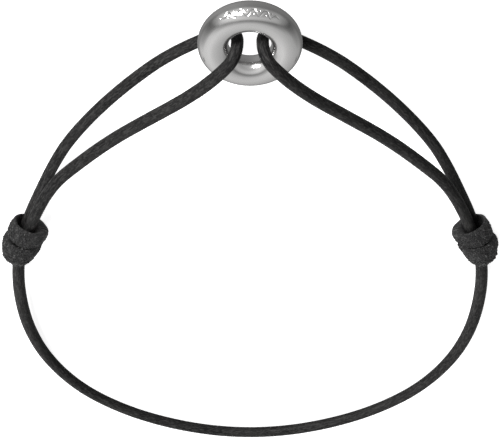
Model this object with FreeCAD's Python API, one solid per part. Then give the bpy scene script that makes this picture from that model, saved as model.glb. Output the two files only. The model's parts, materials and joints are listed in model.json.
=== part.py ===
"""Adjustable cord bracelet: a round cord, threaded twice through a metal ring and closed by two sliding knots.

Millimetres, +Z up. The bracelet lies flat on z = 0 with the ring towards -Y. The left half is at +X, and
the right half is its mirror image. The origin is the middle of the object's box, on the surface it lies on.
"""

import math
import os

import FreeCAD
import Part

Vector = FreeCAD.Vector

# The cord
CORD_D = 1.5
ARC_SHARE = 0.45             # how much of the shorter run an arc takes at each of its ends
FLOOR_Z = CORD_D / 2         # centre height of a strand that lies on the surface

# The ring, a plain torus that lies on the two lower strands
RING_Y = -37.07
RING_R = 4.38                # axis to the middle of the wall
RING_WALL_R = 1.85
RING_GAP = 0.10              # between the ring and the strands under and over it
RING_Z = CORD_D + RING_GAP + RING_WALL_R
OVER_Z = RING_Z + RING_WALL_R + RING_GAP + CORD_D / 2

# The stretch that a knot slides on is an arc about a vertical axis, so the knot turns about that axis
SLIDE_X = -11.00
SLIDE_Y = 9.20
SLIDE_R = 42.00              # to the standing strand
SLIDE_Z = 1.70               # centre height of the standing strand there
TIED_R = SLIDE_R - 0.22      # to the tied strand, which lies on the standing one, a little inside it
TIED_Z = SLIDE_Z + 1.50
SLIDE_CORNERS = 4            # how many corners the route has along that arc
SLIDE_FIRST_A = -20.0        # where the first of them stands
SLIDE_STEP = 8.0             # degrees from one to the next

# The knot: two turns and a tucked end, in degrees about the slide axis from its mouth to its tail
MOUTH_A = -18.90
MAIN_A = -15.20
TUCK_A = -11.10
TAIL_A = -7.60
RECESS_A = MOUTH_A + 1.10
TIED_END_A = MAIN_A
KNOT_R = SLIDE_R + 0.10      # to the middle of the knot's section
KNOT_Z = 2.45
MOUTH_TURN = (2.45, 2.20, 0.55, -0.20)      # half width, half height, edge radius, shift outwards
MAIN_TURN = (2.55, 2.45, 0.85, 0.15)
TUCK_START = (2.05, 2.05)
TUCK_END_R = 1.05
BORE_R = CORD_D / 2 + 0.08
RECESS_R = 1.32

# The route's corners between the places above, for the left half
FAR_CORNERS = [
    (30.35, 18.15, 1.40),
    (28.80, 24.05, 1.00),
    (26.05, 29.50, 0.80),
    (22.20, 34.10, 0.75),
    (16.50, 38.25, 0.75),
    (9.85, 41.15, 0.75),
    (3.30, 42.60, 0.75),
]
LOWER_CORNERS = [
    (26.54, -10.50, 1.68),
    (24.82, -14.60, 1.60),
    (22.74, -18.67, 1.45),
    (18.75, -23.92, 1.05),
    (14.06, -28.92, 0.80),
    (9.20, -33.27, 0.75),
]
UPPER_CORNERS = [
    (25.20, -12.40, 3.20),
    (21.15, -17.00, 3.45),
    (16.88, -21.50, 3.90),
    (12.00, -25.82, 4.55),
    (7.55, -29.87, 5.35),
    (4.15, -33.92, 6.20),
]
HOLE_X = 1.50                # where the cord turns up through the ring
HOLE_Y = -37.47


def on_slide(radius, angle, z):
    """The point at that radius and angle about the left knot's slide axis."""
    turn = math.radians(angle)
    return Vector(SLIDE_X + radius * math.cos(turn), SLIDE_Y + radius * math.sin(turn), z)


def slide_corner(radius, angle, z):
    """A corner whose arc touches the slide arc, so it stands a little outside it."""
    return on_slide(radius / math.cos(math.radians(SLIDE_STEP / 2)), angle, z)


def mirrored(points):
    """The same points on the right half."""
    return [Vector(-p.x, p.y, p.z) for p in points]


def arc_radii(route):
    """The radius of the arc at each inner corner of a route."""
    radii = []
    for before, corner, after in zip(route, route[1:], route[2:]):
        turn = (corner - before).getAngle(after - corner)
        shorter = min((corner - before).Length, (after - corner).Length)
        radii.append(ARC_SHARE * shorter / math.tan(turn / 2))
    return radii


def arc_at(before, corner, after, radius):
    """The arc that rounds a corner: its start, middle and end."""
    back = (before - corner).normalize()
    ahead = (after - corner).normalize()
    half = (math.pi - back.getAngle(ahead)) / 2
    reach = radius * math.tan(half)
    centre = corner + (back + ahead).normalize() * (radius / math.cos(half))
    middle = centre + (corner - centre).normalize() * radius
    return corner + back * reach, middle, corner + ahead * reach


def tube(name, route, first, last):
    """A round tube along a route, from the middle of run first to the middle of run last or the route's end."""
    radii = arc_radii(route)
    start = (route[first] + route[first + 1]) * 0.5
    stop = route[-1] if last is None else (route[last] + route[last + 1]) * 0.5
    last_corner = len(route) - 2 if last is None else last
    here = start
    edges = []
    for i in range(first + 1, last_corner + 1):
        begin, middle, end = arc_at(route[i - 1], route[i], route[i + 1], radii[i - 1])
        edges.append(Part.LineSegment(here, begin).toShape())
        edges.append(Part.Arc(begin, middle, end).toShape())
        here = end
    edges.append(Part.LineSegment(here, stop).toShape())
    path = Part.Wire(edges)
    heading = edges[0].valueAt(edges[0].LastParameter) - start
    section = Part.Wire(Part.Circle(start, heading, CORD_D / 2).toShape())
    solid = path.makePipeShell([section], True, False)
    ideal = math.pi * CORD_D ** 2 / 4 * path.Length
    print(f"{name}: length {path.Length:.2f}, volume {solid.Volume / ideal:.4f} of section times length")
    return solid


def section_at(angle, outline):
    """A closed outline given as a wire in the plane x = radius, z = height, stood up at an angle."""
    wire = outline.copy()
    wire.rotate(Vector(0, 0, 0), Vector(0, 0, 1), angle)
    wire.translate(Vector(SLIDE_X, SLIDE_Y, 0))
    return wire


def oval(half_width, half_height, radius=KNOT_R, z=KNOT_Z):
    """An ellipse about the middle of the knot's section."""
    middle = Vector(radius, 0, z)
    wide = half_width >= half_height
    long_way = Vector(1, 0, 0) if wide else Vector(0, 0, 1)
    short_way = Vector(0, 0, 1) if wide else Vector(1, 0, 0)
    major = middle + long_way * max(half_width, half_height)
    minor = middle + short_way * min(half_width, half_height)
    if abs(half_width - half_height) < 1e-6:
        return Part.Wire(Part.Circle(middle, Vector(0, 1, 0), half_width).toShape())
    return Part.Wire(Part.Ellipse(major, minor, middle).toShape())


def slot(radius):
    """The outline round both strands: two half circles joined by straight sides."""
    low = Vector(SLIDE_R, 0, SLIDE_Z)
    high = Vector(TIED_R, 0, TIED_Z)
    up = (high - low).normalize()
    side = Vector(up.z, 0, -up.x) * radius
    return Part.Wire([
        Part.LineSegment(low + side, high + side).toShape(),
        Part.Arc(high + side, high + up * radius, high - side).toShape(),
        Part.LineSegment(high - side, low - side).toShape(),
        Part.Arc(low - side, low - up * radius, low + side).toShape(),
    ])


def swept(outline, start, end):
    """The solid that an outline sweeps about the slide axis, from one angle to another."""
    face = Part.Face(section_at(start, outline))
    return face.revolve(Vector(SLIDE_X, SLIDE_Y, 0), Vector(0, 0, 1), end - start)


def rounded(solid, radius):
    """The solid with the rims of its two flat ends rounded."""
    rims = [edge for edge in solid.Edges if edge.Length > 4 * radius and edge.isClosed()]
    return solid.makeFillet(radius, rims)


def knot_turn(half_width, half_height, edge_radius, shift, start, end):
    """One turn of the knot, as an oval sleeve round both strands."""
    outline = oval(half_width, half_height, KNOT_R + shift)
    sleeve = rounded(swept(outline, start, end), edge_radius)
    return sleeve.cut(swept(slot(BORE_R), start - 1, end + 1)).Solids[0]


def mouth_turn():
    """The turn at the knot's mouth, which opens wider than the strands that go in."""
    sleeve = knot_turn(*MOUTH_TURN, MOUTH_A, MAIN_A)
    return sleeve.cut(swept(slot(RECESS_R), MOUTH_A - 1, RECESS_A)).Solids[0]


def tucked_end():
    """The cord's end, tucked back into a taper that closes on the standing strand."""
    low = section_at(TUCK_A, oval(*TUCK_START))
    high = section_at(TAIL_A, oval(TUCK_END_R, TUCK_END_R, SLIDE_R, SLIDE_Z))
    taper = Part.makeLoft([low, high], True)
    bore = Part.Wire(Part.Circle(Vector(SLIDE_R, 0, SLIDE_Z), Vector(0, 1, 0), BORE_R).toShape())
    return taper.cut(swept(bore, TUCK_A - 1, TAIL_A + 1)).Solids[0]


def ring():
    """The ring: one solid torus, free to turn in the cord."""
    solid = Part.makeTorus(RING_R, RING_WALL_R)
    solid.translate(Vector(0, RING_Y, RING_Z))
    return solid


def standing_route():
    """From the left side of the hole, under the ring, through the left knot and on to the right."""
    slide = [slide_corner(SLIDE_R, SLIDE_FIRST_A + i * SLIDE_STEP, SLIDE_Z) for i in range(SLIDE_CORNERS)]
    lower = [Vector(*p) for p in reversed(LOWER_CORNERS)]
    far = [Vector(*p) for p in FAR_CORNERS]
    left = [Vector(HOLE_X, HOLE_Y, OVER_Z), Vector(HOLE_X, HOLE_Y, FLOOR_Z)] + lower + slide + far
    return left + mirrored(reversed(left))


def tied_route():
    """From the lower strand up through the hole, over the ring and back to the left knot."""
    foot = [Vector(*LOWER_CORNERS[-1]), Vector(HOLE_X, HOLE_Y, FLOOR_Z)]
    top = [Vector(HOLE_X, HOLE_Y, OVER_Z)]
    upper = [Vector(*p) for p in reversed(UPPER_CORNERS)]
    slide = [slide_corner(TIED_R, SLIDE_FIRST_A, TIED_Z)]
    return foot + top + upper + slide + [on_slide(TIED_R, TIED_END_A, TIED_Z)]


standing = standing_route()
tied = tied_route()
print("standing radii", [round(r, 1) for r in arc_radii(standing)])
print("tied radii", [round(r, 1) for r in arc_radii(tied)])

half = len(standing) // 2
into_knot = 2 + len(LOWER_CORNERS)               # the run whose middle is inside the knot's mouth
nodes = {
    "ring": ring(),
    "far_strand": tube("far_strand", standing, into_knot, 2 * half - 2 - into_knot),
}
left_half = {
    "lower_strand": tube("lower_strand", standing, 1, into_knot),
    "bight": tube("bight", tied, 0, 2),
    "upper_strand": tube("upper_strand", tied, 2, None),
    "knot_mouth_turn": mouth_turn(),
    "knot_main_turn": knot_turn(*MAIN_TURN, MAIN_A, TUCK_A),
    "knot_tucked_end": tucked_end(),
}
for name, solid in left_half.items():
    nodes[f"left_{name}"] = solid
    nodes[f"right_{name}"] = solid.mirror(Vector(0, 0, 0), Vector(1, 0, 0))

os.makedirs("parts", exist_ok=True)
for name, solid in nodes.items():
    print(name, solid.isValid(), solid.ShapeType, round(solid.Volume, 2))
    solid.exportStep(f"parts/{name}.step")
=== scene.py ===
import json
import math

import bmesh
import bpy
from mathutils import Matrix, Vector, noise


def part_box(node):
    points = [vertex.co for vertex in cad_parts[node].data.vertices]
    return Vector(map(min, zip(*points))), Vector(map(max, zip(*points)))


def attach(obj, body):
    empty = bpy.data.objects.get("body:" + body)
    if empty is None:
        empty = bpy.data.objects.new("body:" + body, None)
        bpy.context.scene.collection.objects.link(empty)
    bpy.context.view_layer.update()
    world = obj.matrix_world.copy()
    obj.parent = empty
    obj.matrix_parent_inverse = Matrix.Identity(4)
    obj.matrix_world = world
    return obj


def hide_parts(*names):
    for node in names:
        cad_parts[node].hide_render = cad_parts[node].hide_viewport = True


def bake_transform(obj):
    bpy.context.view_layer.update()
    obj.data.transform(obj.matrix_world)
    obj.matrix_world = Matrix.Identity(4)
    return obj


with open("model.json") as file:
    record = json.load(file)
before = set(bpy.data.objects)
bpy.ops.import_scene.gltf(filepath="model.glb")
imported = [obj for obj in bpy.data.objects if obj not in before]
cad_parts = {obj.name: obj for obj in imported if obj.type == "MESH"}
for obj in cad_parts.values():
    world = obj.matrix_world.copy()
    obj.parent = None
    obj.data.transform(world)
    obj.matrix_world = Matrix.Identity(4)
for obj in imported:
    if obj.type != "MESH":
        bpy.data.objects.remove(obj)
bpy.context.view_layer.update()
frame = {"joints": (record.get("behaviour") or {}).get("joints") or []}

# ---------------------------------------------------------------- Standing cord
# The middle of the bracelet's one length of round black leather cord: from under the ring, through the left
# knot, round the far side of the wrist, and back through the right knot to the ring. Both knots grip it.
# The ring's polish leaves the cords out of its reflections, so the steel stays bright.
CORD_D = 0.0015
STEPS_PER_CORNER = 40        # points of the cord's line for each corner
ROUND_STEPS = 14             # how finely its section is rounded
UNDER_RING = (0.00535, -0.03540, 0.00075)
TOWARDS_LEFT_KNOT = [
    (0.00920, -0.03327, 0.00075),
    (0.01406, -0.02892, 0.00080),
    (0.01875, -0.02392, 0.00105),
    (0.02274, -0.01867, 0.00145),
    (0.02482, -0.01460, 0.00160),
    (0.02654, -0.01050, 0.00168),
]
THROUGH_LEFT_KNOT = [
    (0.02856, -0.00520, 0.00170),
    (0.03018, 0.00045, 0.00170),
    (0.03100, 0.00626, 0.00170),
    (0.03100, 0.01214, 0.00170),
]
FAR_SIDE = [
    (0.03035, 0.01815, 0.00140),
    (0.02880, 0.02405, 0.00100),
    (0.02605, 0.02950, 0.00080),
    (0.02220, 0.03410, 0.00075),
    (0.01650, 0.03825, 0.00075),
    (0.00985, 0.04115, 0.00075),
    (0.00330, 0.04260, 0.00075),
]


def on_the_right(corners):
    """The same corners on the right half of the bracelet."""
    return [(-x, y, z) for x, y, z in corners]


def leather_cord(name, corners, fullness):
    """A round cord along a smooth line, a little uneven as cut leather is. Returns it and its line.

    fullness is how thick it is at each corner, as a share of its diameter.

    Its attribute straight holds each point's place on the cord laid out straight: across, across and along.
    """
    curve = bpy.data.curves.new(name, "CURVE")
    curve.dimensions = "3D"
    curve.resolution_u = STEPS_PER_CORNER
    spline = curve.splines.new("NURBS")
    spline.points.add(len(corners) - 1)
    for point, corner, share in zip(spline.points, corners, fullness):
        point.co = (*corner, 1)
        point.radius = share
    spline.order_u = 3
    spline.use_endpoint_u = True
    guide = bpy.data.objects.new(name + "_guide", curve)
    bpy.context.scene.collection.objects.link(guide)
    bpy.context.view_layer.update()
    seen = guide.evaluated_get(bpy.context.evaluated_depsgraph_get())
    line = [v.co.copy() for v in bpy.data.meshes.new_from_object(seen).vertices]
    curve.bevel_depth = CORD_D / 2
    curve.bevel_resolution = ROUND_STEPS
    curve.use_fill_caps = True
    bpy.context.view_layer.update()
    seen = guide.evaluated_get(bpy.context.evaluated_depsgraph_get())
    mesh = bpy.data.meshes.new_from_object(seen)
    bpy.data.objects.remove(guide)

    round_the_cord = len(mesh.vertices) // len(line)
    straight = mesh.attributes.new("straight", "FLOAT_VECTOR", "POINT")
    along = 0.0
    for i, centre in enumerate(line):
        along += (centre - line[i - 1]).length if i else 0.0
        for j in range(round_the_cord):
            vertex = mesh.vertices[i * round_the_cord + j]
            turn = 2 * math.pi * j / round_the_cord
            place = Vector((math.cos(turn) * CORD_D / 2, math.sin(turn) * CORD_D / 2, along))
            straight.data[vertex.index].vector = place
            swell = noise.noise(Vector((place.x * 900, place.y * 900, place.z * 260)))
            dent = noise.noise(Vector((place.x * 2600 + 7, place.y * 2600, place.z * 900)))
            vertex.co = centre + (vertex.co - centre) * (1 + 0.012 * swell + 0.008 * dent)
    for polygon in mesh.polygons:
        polygon.use_smooth = len(polygon.vertices) == 4
    mesh.materials.clear()
    cord = bpy.data.objects.new(name, mesh)
    bpy.context.scene.collection.objects.link(cord)
    return cord, line


def node(tree, kind, inputs=None, **settings):
    """A shader node with its settings, each input either a value or another node's output."""
    made = tree.nodes.new(kind)
    for key, value in settings.items():
        setattr(made, key, value)
    for key, value in (inputs or {}).items():
        if isinstance(value, bpy.types.NodeSocket):
            tree.links.new(value, made.inputs[key])
        else:
            made.inputs[key].default_value = value
    return made


def tones(tree, amount, stops):
    """A colour ramp on an amount: each stop is a position and a grey or colour."""
    ramp = node(tree, "ShaderNodeValToRGB", {"Fac": amount})
    while len(ramp.color_ramp.elements) < len(stops):
        ramp.color_ramp.elements.new(0.5)
    for element, (position, colour) in zip(ramp.color_ramp.elements, stops):
        element.position = position
        element.color = (*colour, 1) if isinstance(colour, tuple) else (colour, colour, colour, 1)
    return ramp.outputs["Color"]


def mixed(tree, amount, first, second, blend="MIX"):
    """Two colours mixed. The node's colour sockets share their names with others, so they go by number."""
    return node(tree, "ShaderNodeMix", {0: amount, 6: first, 7: second}, data_type="RGBA",
                blend_type=blend).outputs[2]


def stretched(tree, place, scale):
    """Places on a pattern, scaled differently along each axis."""
    return node(tree, "ShaderNodeMapping", {"Vector": place, "Scale": scale}).outputs["Vector"]


def cord_leather():
    """Black drum-dyed leather: satin, with fibres along the cord and fine pores, rubbed grey in places."""
    material = bpy.data.materials.new("cord_leather")
    material.use_nodes = True
    tree = material.node_tree
    shader = tree.nodes["Principled BSDF"]
    place = node(tree, "ShaderNodeAttribute", attribute_name="straight").outputs["Vector"]
    fibres = node(tree, "ShaderNodeTexNoise", {
        "Vector": stretched(tree, place, (5200, 5200, 1300)), "Scale": 1.0, "Detail": 4.0, "Roughness": 0.62,
        "Distortion": 0.8}).outputs["Fac"]
    pores = node(tree, "ShaderNodeTexNoise", {
        "Vector": stretched(tree, place, (9000, 9000, 5200)), "Scale": 1.0, "Detail": 2.0}).outputs["Fac"]
    patches = node(tree, "ShaderNodeTexNoise", {
        "Vector": stretched(tree, place, (500, 500, 160)), "Scale": 1.0, "Detail": 3.0}).outputs["Fac"]
    dyed = tones(tree, patches, [(0.32, (0.0075, 0.0075, 0.0077)), (0.70, (0.0180, 0.0177, 0.0175))])
    worn = tones(tree, fibres, [(0.44, 0.0), (0.70, 1.0)])
    tree.links.new(mixed(tree, worn, dyed, (0.050, 0.049, 0.048, 1)), shader.inputs["Base Color"])
    tree.links.new(tones(tree, fibres, [(0.30, 0.62), (0.70, 0.42)]), shader.inputs["Roughness"])
    shader.inputs["Specular IOR Level"].default_value = 0.07
    height = node(tree, "ShaderNodeMath", {0: fibres, 1: node(
        tree, "ShaderNodeMath", {0: pores, 1: 0.45}, operation="MULTIPLY").outputs["Value"]}, operation="ADD")
    bump = node(tree, "ShaderNodeBump", {"Height": height.outputs["Value"], "Strength": 0.75,
                                         "Distance": 0.00006})
    tree.links.new(bump.outputs["Normal"], shader.inputs["Normal"])
    return material


CORD_LEATHER = cord_leather()
left_side = [UNDER_RING] + TOWARDS_LEFT_KNOT + THROUGH_LEFT_KNOT + FAR_SIDE
left_fullness = [0.99] * 7 + [1.04, 1.06, 1.11, 1.12, 1.10, 1.05, 0.99, 0.97, 0.97, 0.98, 0.99]
standing_cord, standing_line = leather_cord(
    "standing_cord", left_side + on_the_right(reversed(left_side)), left_fullness + left_fullness[::-1])
standing_cord.data.materials.append(CORD_LEATHER)
standing_cord.visible_glossy = False
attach(standing_cord, "cord")
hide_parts("far_strand", "left_lower_strand", "right_lower_strand")

# ---------------------------------------------------------------- Tied cords
# The two ends of the same cord. Each comes up through the ring, lies back over it and runs into its knot,
# where it is tied round the standing cord.
UP_THROUGH_RING = [(0.00150, -0.03747, 0.00075), (0.00150, -0.03747, 0.00615)]
OVER_TO_LEFT_KNOT = [
    (0.00415, -0.03392, 0.00620),
    (0.00755, -0.02987, 0.00535),
    (0.01200, -0.02582, 0.00455),
    (0.01688, -0.02150, 0.00390),
    (0.02115, -0.01700, 0.00345),
    (0.02520, -0.01240, 0.00320),
    (0.02836, -0.00513, 0.00320),
    (0.02932, -0.00175, 0.00320),
]
left_tied = [UNDER_RING] + UP_THROUGH_RING + OVER_TO_LEFT_KNOT
tied_fullness = [1.0] * 3 + [1.07] * 5 + [1.03, 1.0, 1.0]
for side, corners, toward in (("left", left_tied, 1), ("right", on_the_right(left_tied), -1)):
    tied_cord, tied_line = leather_cord(f"{side}_tied_cord", corners, tied_fullness)
    tied_cord.visible_glossy = False
    tied_cord.data.materials.append(CORD_LEATHER)
    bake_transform(tied_cord)
    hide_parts(f"{side}_bight", f"{side}_upper_strand")

# ---------------------------------------------------------------- Knots: the turn at each mouth
# The last turn of the cord's end round both strands. The leather is pulled flat into a broad soft collar with
# a fat lip, and it stands open where the strands go in. It is wrung tight, so its grain shows as pebbles.
MM = 0.001
SLIDE = {joint["child"]: Vector(joint["pos_m"]) for joint in frame["joints"]}
SLIDE_R = 42.00
MOUTH_A = -18.86
MAIN_A = -15.20
LOOP_STEPS = 40              # faces round a turn, before they are subdivided
LOOP_LEVELS = 3


def knot_turn(name, side, start, end, rim, near, far, slant, grain):
    """One turn of a knot, a sleeve round the strands along the slide's arc, in millimetres and degrees.

    rim is the sleeve's wall in section: how far along it and how far out from the strands, both from 0 to 1.
    near and far are its section at each end: height of its middle, then the bore and the outside, each with
    its middle out from the strands, half width and half height. slant is how far the near end leans towards
    the tail on the turn's outer side and on its top, then the same for the far end, and
    grain(along, turn, out) is how far the leather stands proud.
    """
    bm = bmesh.new()
    wall = [bm.verts.new((along, 1 + out, 0)) for along, out in rim]
    edges = [bm.edges.new((a, b)) for a, b in zip(wall, wall[1:] + wall[:1])]
    bmesh.ops.spin(bm, geom=wall + edges, cent=(0, 0, 0), axis=(1, 0, 0), angle=2 * math.pi,
                   steps=LOOP_STEPS, use_merge=True)
    bmesh.ops.remove_doubles(bm, verts=bm.verts, dist=1e-5)
    bmesh.ops.recalc_face_normals(bm, faces=bm.faces)
    mesh = bpy.data.meshes.new(name)
    bm.to_mesh(mesh)
    bm.free()
    rough = bpy.data.objects.new(name + "_rough", mesh)
    bpy.context.scene.collection.objects.link(rough)
    smoothing = rough.modifiers.new("smoothing", "SUBSURF")
    smoothing.levels = smoothing.render_levels = LOOP_LEVELS
    bpy.context.view_layer.update()
    seen = rough.evaluated_get(bpy.context.evaluated_depsgraph_get())
    fine = bpy.data.meshes.new_from_object(seen)
    bpy.data.objects.remove(rough)

    centre = SLIDE[f"{side}_knot"]
    toward = 1 if side == "left" else -1
    straight = fine.attributes.new("straight", "FLOAT_VECTOR", "POINT")
    span = math.radians(end - start) * SLIDE_R
    for vertex in fine.vertices:
        along, y, z = vertex.co
        turn = math.atan2(z, y)
        out = math.hypot(y, z) - 1
        share = min(max(along, 0.0), 1.0)
        share = share * share * (3 - 2 * share)
        middle_up, bore_out, bore_wide, bore_high, skin_out, wide, high = (
            a + (b - a) * share for a, b in zip(near, far))
        proud = grain(along * span, turn, out) if out > 0.25 else 0.0
        middle_out = bore_out + (skin_out - bore_out) * out
        outwards = middle_out + math.cos(turn) * (bore_wide + (wide - bore_wide) * out + proud)
        upwards = middle_up + math.sin(turn) * (bore_high + (high - bore_high) * out + proud)
        outer_lean, top_lean = (a + (b - a) * share for a, b in zip(slant[:2], slant[2:]))
        lean = outer_lean * math.cos(turn) + top_lean * math.sin(turn)
        angle = math.radians(start) + (along * span + lean * max(out, 0.0)) / SLIDE_R
        reach = SLIDE_R + outwards
        straight.data[vertex.index].vector = (
            math.cos(turn) * wide * MM, math.sin(turn) * high * MM, along * span * MM)
        vertex.co = (toward * (reach * math.cos(angle) * MM - abs(centre.x)),
                     centre.y + reach * math.sin(angle) * MM, upwards * MM)
    if toward < 0:
        fine.flip_normals()
    for polygon in fine.polygons:
        polygon.use_smooth = True
    sleeve = bpy.data.objects.new(name, fine)
    bpy.context.scene.collection.objects.link(sleeve)
    return sleeve


def pebbles(place, size):
    """Rounded cells, as in shrunken leather: 1 in the middle of a cell and 0 between cells."""
    distances = noise.voronoi(place / size)[0]
    inwards = min(1.0, (distances[1] - distances[0]) * 1.5)
    return inwards * (2 - inwards)


def collar_grain(seed):
    """The pebbled skin of the collar, smoother at its lip."""
    def grain(along, turn, out):
        place = Vector((math.cos(turn) * 2.4 + seed, math.sin(turn) * 2.2, along))
        soft = 0.10 * noise.noise(place * 0.8)
        skin = 0.15 * pebbles(place + 0.12 * noise.noise_vector(place * 2), 0.38)
        return soft + skin * min(1.0, max(0.0, (along - 0.35) / 0.6))
    return grain


def knot_leather():
    """The same leather wrung into a knot: darker in its low folds and rubbed grey on its pebbles where they
    stand high, with painted shade, near black, in the grooves between the pebbles.
    """
    material = bpy.data.materials.new("knot_leather")
    material.use_nodes = True
    tree = material.node_tree
    shader = tree.nodes["Principled BSDF"]
    place = node(tree, "ShaderNodeAttribute", attribute_name="straight").outputs["Vector"]
    wrung = node(tree, "ShaderNodeTexNoise", {
        "Vector": stretched(tree, place, (2600, 2600, 2600)), "Scale": 1.0, "Detail": 3.0,
        "Distortion": 0.8}).outputs["Fac"]
    cells = node(tree, "ShaderNodeTexVoronoi", {
        "Vector": stretched(tree, place, (4200, 4200, 4200)), "Scale": 1.0, "Randomness": 0.9},
        feature="DISTANCE_TO_EDGE").outputs["Distance"]
    dyed = tones(tree, wrung, [(0.36, (0.0080, 0.0080, 0.0082)), (0.54, (0.0200, 0.0196, 0.0194)),
                               (0.68, (0.1100, 0.1085, 0.1070))])
    # The pebbles' shape gives their bump and masks painted shade: the grooves between the pebbles are painted
    # near black.
    pebble_height_and_painted_shade = tones(tree, cells, [(0.0, 0.0), (0.08, 0.45), (0.20, 0.80), (0.36, 0.95), (0.60, 1.0)])
    tree.links.new(mixed(tree, pebble_height_and_painted_shade, (0.0030, 0.0030, 0.0031, 1), dyed), shader.inputs["Base Color"])
    tree.links.new(tones(tree, wrung, [(0.35, 0.62), (0.68, 0.27)]), shader.inputs["Roughness"])
    shader.inputs["Specular IOR Level"].default_value = 0.32
    height = node(tree, "ShaderNodeMath", {0: pebble_height_and_painted_shade, 1: wrung}, operation="ADD")
    bump = node(tree, "ShaderNodeBump", {"Height": height.outputs["Value"], "Strength": 0.9,
                                         "Distance": 0.00009})
    tree.links.new(bump.outputs["Normal"], shader.inputs["Normal"])
    return material


KNOT_LEATHER = knot_leather()
COLLAR_WALL = [(-0.04, 0.68), (0.02, 0.97), (0.20, 1.04), (0.50, 1.06), (0.78, 1.00), (0.97, 0.84),
               (1.02, 0.50), (0.98, 0.10), (0.70, 0.00), (0.50, 0.00), (0.30, 0.07), (0.04, 0.28)]
COLLAR_NEAR = (2.40, 0.12, 1.10, 1.56, -0.42, 2.46, 2.18)
COLLAR_FAR = (2.45, -0.02, 1.00, 1.70, -0.22, 2.44, 2.24)
MOUTH_SLANT = (-0.36, -0.70)
GROOVE_SLANT = {"left": (-0.05, -0.20), "right": (0.20, -0.40)}
for side, seed in (("left", 3.0), ("right", 11.0)):
    mouth = knot_turn(f"{side}_mouth_turn", side, MOUTH_A, MAIN_A, COLLAR_WALL, COLLAR_NEAR, COLLAR_FAR,
                      MOUTH_SLANT + GROOVE_SLANT[side], collar_grain(seed))
    mouth.data.materials.append(KNOT_LEATHER)
    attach(mouth, f"{side}_knot")
    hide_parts(f"{side}_knot_mouth_turn")

# ---------------------------------------------------------------- Knots: the main turn
# The first turn of the cord's end round both strands, the fattest. It is pulled tight against the collar, so
# a deep groove runs between them, and its leather is creased across the direction of pull.
TUCK_A = -11.10
MAIN_WALL = [(0.02, 0.50), (0.03, 0.82), (0.16, 1.02), (0.42, 1.10), (0.72, 1.06), (0.96, 0.93),
             (1.03, 0.60), (0.98, 0.10), (0.50, 0.00), (0.06, 0.10)]
MAIN_NEAR = (2.45, -0.05, 1.00, 1.70, -0.04, 2.48, 2.26)
MAIN_FAR = (2.36, -0.05, 1.00, 1.66, 0.12, 2.26, 2.14)
TUCK_SLANT = (0.10, 0.0)


def creased_grain(seed, lean, depth):
    """Creased and pebbled leather: ridges that lean round the turn and fade in and out."""
    def grain(along, turn, out):
        place = Vector((math.cos(turn) * 2.4 + seed, math.sin(turn) * 2.2, along))
        soft = 0.09 * noise.noise(place * 0.9)
        bend = 0.9 * noise.noise(place * 1.3 + Vector((5, 0, 0)))
        ridge = math.sin((turn * 2.3 * lean + along) * 11.0 + bend * 4)
        patch = min(1.0, max(0.0, 0.5 + 1.4 * noise.noise(place * 0.7 + Vector((0, 9, 0)))))
        skin = 0.12 * pebbles(place, 0.36)
        return soft + depth * ridge * patch + skin
    return grain


for side, seed in (("left", 17.0), ("right", 23.0)):
    main = knot_turn(f"{side}_main_turn", side, MAIN_A, TUCK_A, MAIN_WALL, MAIN_NEAR, MAIN_FAR,
                     GROOVE_SLANT[side] + TUCK_SLANT, creased_grain(seed, 0.25, 0.060))
    main.data.materials.append(KNOT_LEATHER)
    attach(main, f"{side}_knot")
    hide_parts(f"{side}_knot_main_turn")

# ---------------------------------------------------------------- Knots: the tucked end
# The very end of the cord, pushed back under the main turn. The leather closes in a creased taper on the
# standing strand, which comes out of it alone.
TAIL_A = -7.60
TUCK_WALL = [(-0.10, 0.60), (-0.06, 0.96), (0.15, 1.02), (0.45, 1.06), (0.78, 1.10), (1.04, 0.95),
             (1.10, 0.30), (0.95, -0.20), (0.50, -0.10), (0.05, 0.00)]
TUCK_NEAR = (2.34, 0.0, 0.90, 1.50, 0.14, 2.12, 2.04)
TUCK_FAR = (1.74, 0.0, 0.80, 0.80, 0.05, 1.08, 1.04)
for side, seed in (("left", 31.0), ("right", 41.0)):
    tuck = knot_turn(f"{side}_tucked_end", side, TUCK_A, TAIL_A, TUCK_WALL, TUCK_NEAR, TUCK_FAR,
                     TUCK_SLANT + (0.0, 0.0), creased_grain(seed, 0.6, 0.075))
    tuck.data.materials.append(KNOT_LEATHER)
    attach(tuck, f"{side}_knot")
    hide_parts(f"{side}_knot_tucked_end")

# ---------------------------------------------------------------- Ring
# One solid ring of polished steel, turned to a round section and free in the cord. A running wave with a dot
# in each hollow is engraved on the slope of its outer side, where it faces the wearer.
ring_low, ring_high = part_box("ring")
RING_MIDDLE = (Vector(ring_low) + Vector(ring_high)) / 2
WALL_R = (ring_high[2] - ring_low[2]) / 2
RING_R = (ring_high[0] - ring_low[0]) / 2 - WALL_R
ENGRAVED_ARC = math.radians(80)      # the part of the ring with fine faces
ENGRAVED_UP = math.radians(33)       # up from the outer equator to the middle of the engraving
ENGRAVED_LOW = math.radians(10)      # and to the lower and upper ends of the fine faces
ENGRAVED_HIGH = math.radians(56)
WALL_STEPS = 72                      # faces round the wall
ENGRAVED_CUTS = 5                    # cuts across each of those that the engraving crosses
ENGRAVED_STEPS = 260                 # faces along the engraved arc
PLAIN_STEPS = 140                    # and along the rest of the ring
WAVE_LONG = 1.50 * MM
WAVE_HIGH = 0.40 * MM
WAVE_ENDS = 3.55 * MM                # half the length of the engraved band
CUT_WIDE = 0.13 * MM
CUT_DEEP = 0.060 * MM


def tube_place(co):
    """A point's angle about the ring's axis, from -Y, and its angle about the wall's middle."""
    x, y = co.x - RING_MIDDLE.x, co.y - RING_MIDDLE.y
    return math.atan2(x, -y), math.atan2(co.z - RING_MIDDLE.z, math.hypot(x, y) - RING_R)


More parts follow.
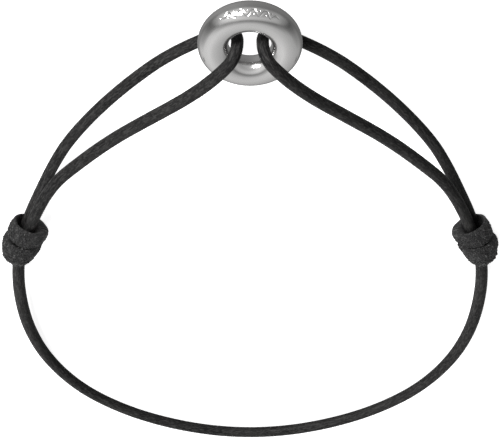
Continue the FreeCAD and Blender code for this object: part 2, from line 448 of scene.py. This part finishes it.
def cut_depth(around, up):
    """How deep the graver went at that place on the ring."""
    length = around * (RING_R + WALL_R * math.cos(ENGRAVED_UP))
    rise = (up - ENGRAVED_UP) * WALL_R
    if abs(length) > WAVE_ENDS + CUT_WIDE or abs(rise) > WAVE_HIGH * 2:
        return 0.0
    phase = 2 * math.pi * length / WAVE_LONG
    fade = min(1.0, (WAVE_ENDS - abs(length)) / (0.6 * WAVE_LONG)) if abs(length) < WAVE_ENDS else 0.0
    slope = WAVE_HIGH * fade * math.cos(phase) * 2 * math.pi / WAVE_LONG
    aside = abs(rise - WAVE_HIGH * fade * math.sin(phase)) / math.hypot(1, slope)
    beyond = max(0.0, abs(length) - WAVE_ENDS)
    nearest = math.hypot(aside, beyond)
    crest = math.floor(phase / math.pi) * math.pi + math.pi / 2
    dot_rise = -WAVE_HIGH * 0.50 * math.sin(crest)
    dot = math.hypot(rise - dot_rise, (phase - crest) / (2 * math.pi) * WAVE_LONG)
    if abs(crest / (2 * math.pi) * WAVE_LONG) < WAVE_ENDS - 0.5 * WAVE_LONG:
        nearest = min(nearest, dot)
    if nearest > CUT_WIDE:
        return 0.0
    return CUT_DEEP * (0.5 + 0.5 * math.cos(math.pi * nearest / CUT_WIDE))


def ring_steel():
    """Polished steel with faint turning lines and a little haze where it is handled."""
    material = bpy.data.materials.new("ring_steel")
    material.use_nodes = True
    tree = material.node_tree
    shader = tree.nodes["Principled BSDF"]
    shader.inputs["Base Color"].default_value = (0.42, 0.417, 0.413, 1)
    shader.inputs["Metallic"].default_value = 1.0
    shader.inputs["Specular Tint"].default_value = (0.5, 0.5, 0.5, 1)
    place = node(tree, "ShaderNodeTexCoord").outputs["Object"]
    centred = node(tree, "ShaderNodeMapping", {"Vector": place, "Location": tuple(-RING_MIDDLE)})
    parts = node(tree, "ShaderNodeSeparateXYZ", {"Vector": centred.outputs["Vector"]})
    flat = node(tree, "ShaderNodeCombineXYZ", {"X": parts.outputs["X"], "Y": parts.outputs["Y"]})
    reach = node(tree, "ShaderNodeVectorMath", {0: flat.outputs["Vector"]}, operation="LENGTH")
    turned = node(tree, "ShaderNodeCombineXYZ", {"X": reach.outputs["Value"], "Y": parts.outputs["Z"]})
    lines = node(tree, "ShaderNodeTexNoise", {
        "Vector": stretched(tree, turned.outputs["Vector"], (9000, 9000, 1)), "Scale": 1.0, "Detail": 2.0})
    haze = node(tree, "ShaderNodeTexNoise", {"Vector": place, "Scale": 420.0, "Detail": 4.0})
    tree.links.new(tones(tree, haze.outputs["Fac"], [(0.35, 0.14), (0.70, 0.24)]), shader.inputs["Roughness"])
    bump = node(tree, "ShaderNodeBump", {"Height": lines.outputs["Fac"], "Strength": 0.10,
                                         "Distance": 0.00002})
    tree.links.new(bump.outputs["Normal"], shader.inputs["Normal"])
    return material


bm = bmesh.new()
section = bmesh.ops.create_circle(bm, segments=WALL_STEPS, radius=WALL_R)["verts"]
bmesh.ops.rotate(bm, verts=section, cent=(0, 0, 0), matrix=Matrix.Rotation(math.pi / 2, 3, "X"))
engraved_edges = [edge for edge in bm.edges
                  if ENGRAVED_LOW < math.atan2(*(edge.verts[0].co + edge.verts[1].co).zx) < ENGRAVED_HIGH]
bmesh.ops.subdivide_edges(bm, edges=engraved_edges, cuts=ENGRAVED_CUTS)
for vertex in bm.verts:
    vertex.co = vertex.co.normalized() * WALL_R
bmesh.ops.translate(bm, verts=bm.verts, vec=(RING_R, 0, 0))
bmesh.ops.rotate(bm, verts=bm.verts, cent=(0, 0, 0),
                 matrix=Matrix.Rotation(-math.pi / 2 - ENGRAVED_ARC / 2, 3, "Z"))
fine_arc = bmesh.ops.spin(bm, geom=bm.verts[:] + bm.edges[:], cent=(0, 0, 0), axis=(0, 0, 1),
                          angle=ENGRAVED_ARC, steps=ENGRAVED_STEPS)
last = [item for item in fine_arc["geom_last"] if not isinstance(item, bmesh.types.BMFace)]
bmesh.ops.spin(bm, geom=last, cent=(0, 0, 0), axis=(0, 0, 1), angle=2 * math.pi - ENGRAVED_ARC,
               steps=PLAIN_STEPS)
bmesh.ops.remove_doubles(bm, verts=bm.verts, dist=1e-6)
bmesh.ops.recalc_face_normals(bm, faces=bm.faces)
bmesh.ops.translate(bm, verts=bm.verts, vec=RING_MIDDLE)
for vertex in bm.verts:
    around, up = tube_place(vertex.co)
    depth = cut_depth(around, up)
    if depth:
        outwards = Vector((math.sin(around) * math.cos(up), -math.cos(around) * math.cos(up), math.sin(up)))
        vertex.co -= outwards * depth
ring_mesh = bpy.data.meshes.new("engraved_ring")
bm.to_mesh(ring_mesh)
bm.free()
for polygon in ring_mesh.polygons:
    polygon.use_smooth = True
engraved_ring = bpy.data.objects.new("engraved_ring", ring_mesh)
bpy.context.scene.collection.objects.link(engraved_ring)
ring_mesh.materials.append(ring_steel())
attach(engraved_ring, "ring")
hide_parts("ring")

# ---------------------------------------------------------------- Floor, light and camera
# A white light table that casts no light on the object, a tent that only polished metal mirrors, one soft
# window low on the left, and a soft panel above. The camera looks down from the ring's side, with the ring at
# the top of its view.
bpy.ops.mesh.primitive_plane_add(size=2)
floor = bpy.context.object
floor.name = "floor"
paper = bpy.data.materials.new("paper")
paper.use_nodes = True
sheet = paper.node_tree.nodes["Principled BSDF"].inputs
sheet["Base Color"].default_value = (0.80, 0.80, 0.80, 1)
sheet["Roughness"].default_value = 0.9
sheet["Specular IOR Level"].default_value = 0.0
sheet["Emission Color"].default_value = (1, 1, 1, 1)
sheet["Emission Strength"].default_value = 0.92
floor.data.materials.append(paper)
floor.visible_diffuse = False
floor.visible_glossy = False

world = bpy.data.worlds.new("studio")
bpy.context.scene.world = world
world.use_nodes = True
tree = world.node_tree
towards = node(tree, "ShaderNodeSeparateXYZ", {
    "Vector": node(tree, "ShaderNodeTexCoord").outputs["Generated"]}).outputs


def from_to(value, start, end):
    """A value from the world's direction, brought to the range from 0 to 1."""
    scaled = node(tree, "ShaderNodeMapRange", {"Value": value, "From Min": start, "From Max": end})
    return scaled.outputs["Result"]


tent = tones(tree, from_to(towards["Y"], 1, -1), [
    (0.00, 0.62), (0.15, 0.69), (0.35, 0.65), (0.41, 0.56), (0.475, 0.40), (0.53, 0.32), (0.565, 0.21),
    (0.60, 0.33), (0.65, 0.59), (0.75, 0.73), (0.875, 0.49), (1.00, 0.61)])
table = tones(tree, from_to(towards["Y"], 1, -1), [(0.00, 0.36), (0.50, 0.33), (1.00, 0.24)])
sides = tones(tree, from_to(towards["X"], -1, 1), [
    (0.00, 0.34), (0.05, 0.40), (0.13, 0.58), (0.35, 0.70), (0.50, 0.80), (0.68, 1.00), (0.86, 0.95),
    (0.95, 0.50), (1.00, 0.40)])
around = mixed(tree, from_to(towards["Z"], -0.42, -0.15), table, tent)
tree.links.new(mixed(tree, 1.0, around, sides, "MULTIPLY"), tree.nodes["Background"].inputs["Color"])
tree.nodes["Background"].inputs["Strength"].default_value = 2.1
world.cycles_visibility.diffuse = False


def soft_light(name, place, aim, wide, high, watts, mirrored=True):
    """A soft panel of light that faces a point, and that polished steel mirrors or not."""
    light = bpy.data.objects.new(name, bpy.data.lights.new(name, "AREA"))
    light.data.shape = "RECTANGLE"
    light.data.size = wide
    light.data.size_y = high
    light.data.energy = watts
    light.visible_glossy = mirrored
    light.location = place
    light.rotation_euler = (Vector(aim) - Vector(place)).to_track_quat("-Z", "Y").to_euler()
    bpy.context.scene.collection.objects.link(light)


soft_light("window", (0.20, -0.42, 0.15), (0, 0, 0), 0.16, 0.10, 2.6)
soft_light("overhead", (0.35, 0.05, 0.55), (0, 0, 0), 0.60, 0.60, 4.5, mirrored=False)

camera = bpy.data.objects.new("camera", bpy.data.cameras.new("camera"))
bpy.context.scene.collection.objects.link(camera)
camera.data.lens = 158.4
camera.data.sensor_width = 36
camera.data.clip_start = 0.01
camera.location = (0, -0.21497, 0.1947)
tilted = Matrix.Rotation(math.radians(47.5), 3, "X")
ring_at_the_top = Matrix.Rotation(math.pi, 3, "Z")
camera.rotation_euler = (tilted @ ring_at_the_top).to_euler()
bpy.context.scene.camera = camera
bpy.context.scene.view_settings.view_transform = "Standard"
